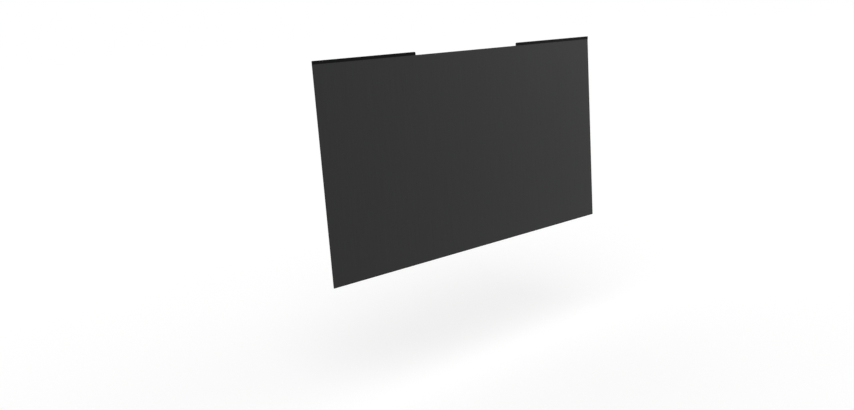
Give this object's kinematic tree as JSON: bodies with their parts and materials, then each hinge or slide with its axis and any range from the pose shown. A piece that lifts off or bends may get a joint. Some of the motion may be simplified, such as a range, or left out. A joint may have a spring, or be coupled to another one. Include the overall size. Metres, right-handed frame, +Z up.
{
  "type": "monitor privacy filter",
  "caption": "Dark louvred privacy sheet for a wide 24 inch monitor, hung by two flexible magnet strips on its top edge with a webcam gap between them.",
  "frame": {"origin": "middle of the whole filter's box", "axes": "+X along the width to the right as the user sees it, +Y from the user towards the screen, +Z up"},
  "size_m": [0.5314, 0.001, 0.3034],
  "materials": {
    "louvre_sheet": "satin dark charcoal privacy film with fine upright louvres",
    "magnet_black": "smooth satin black face on flexible magnet",
    "clear_film": "clear glossy film"
  },
  "bodies": {
    "root": {"filter_sheet": "louvre_sheet", "left_magnet_strip": "magnet_black", "right_magnet_strip": "magnet_black", "left_joining_film": "clear_film", "right_joining_film": "clear_film"}
  },
  "joints": []
}
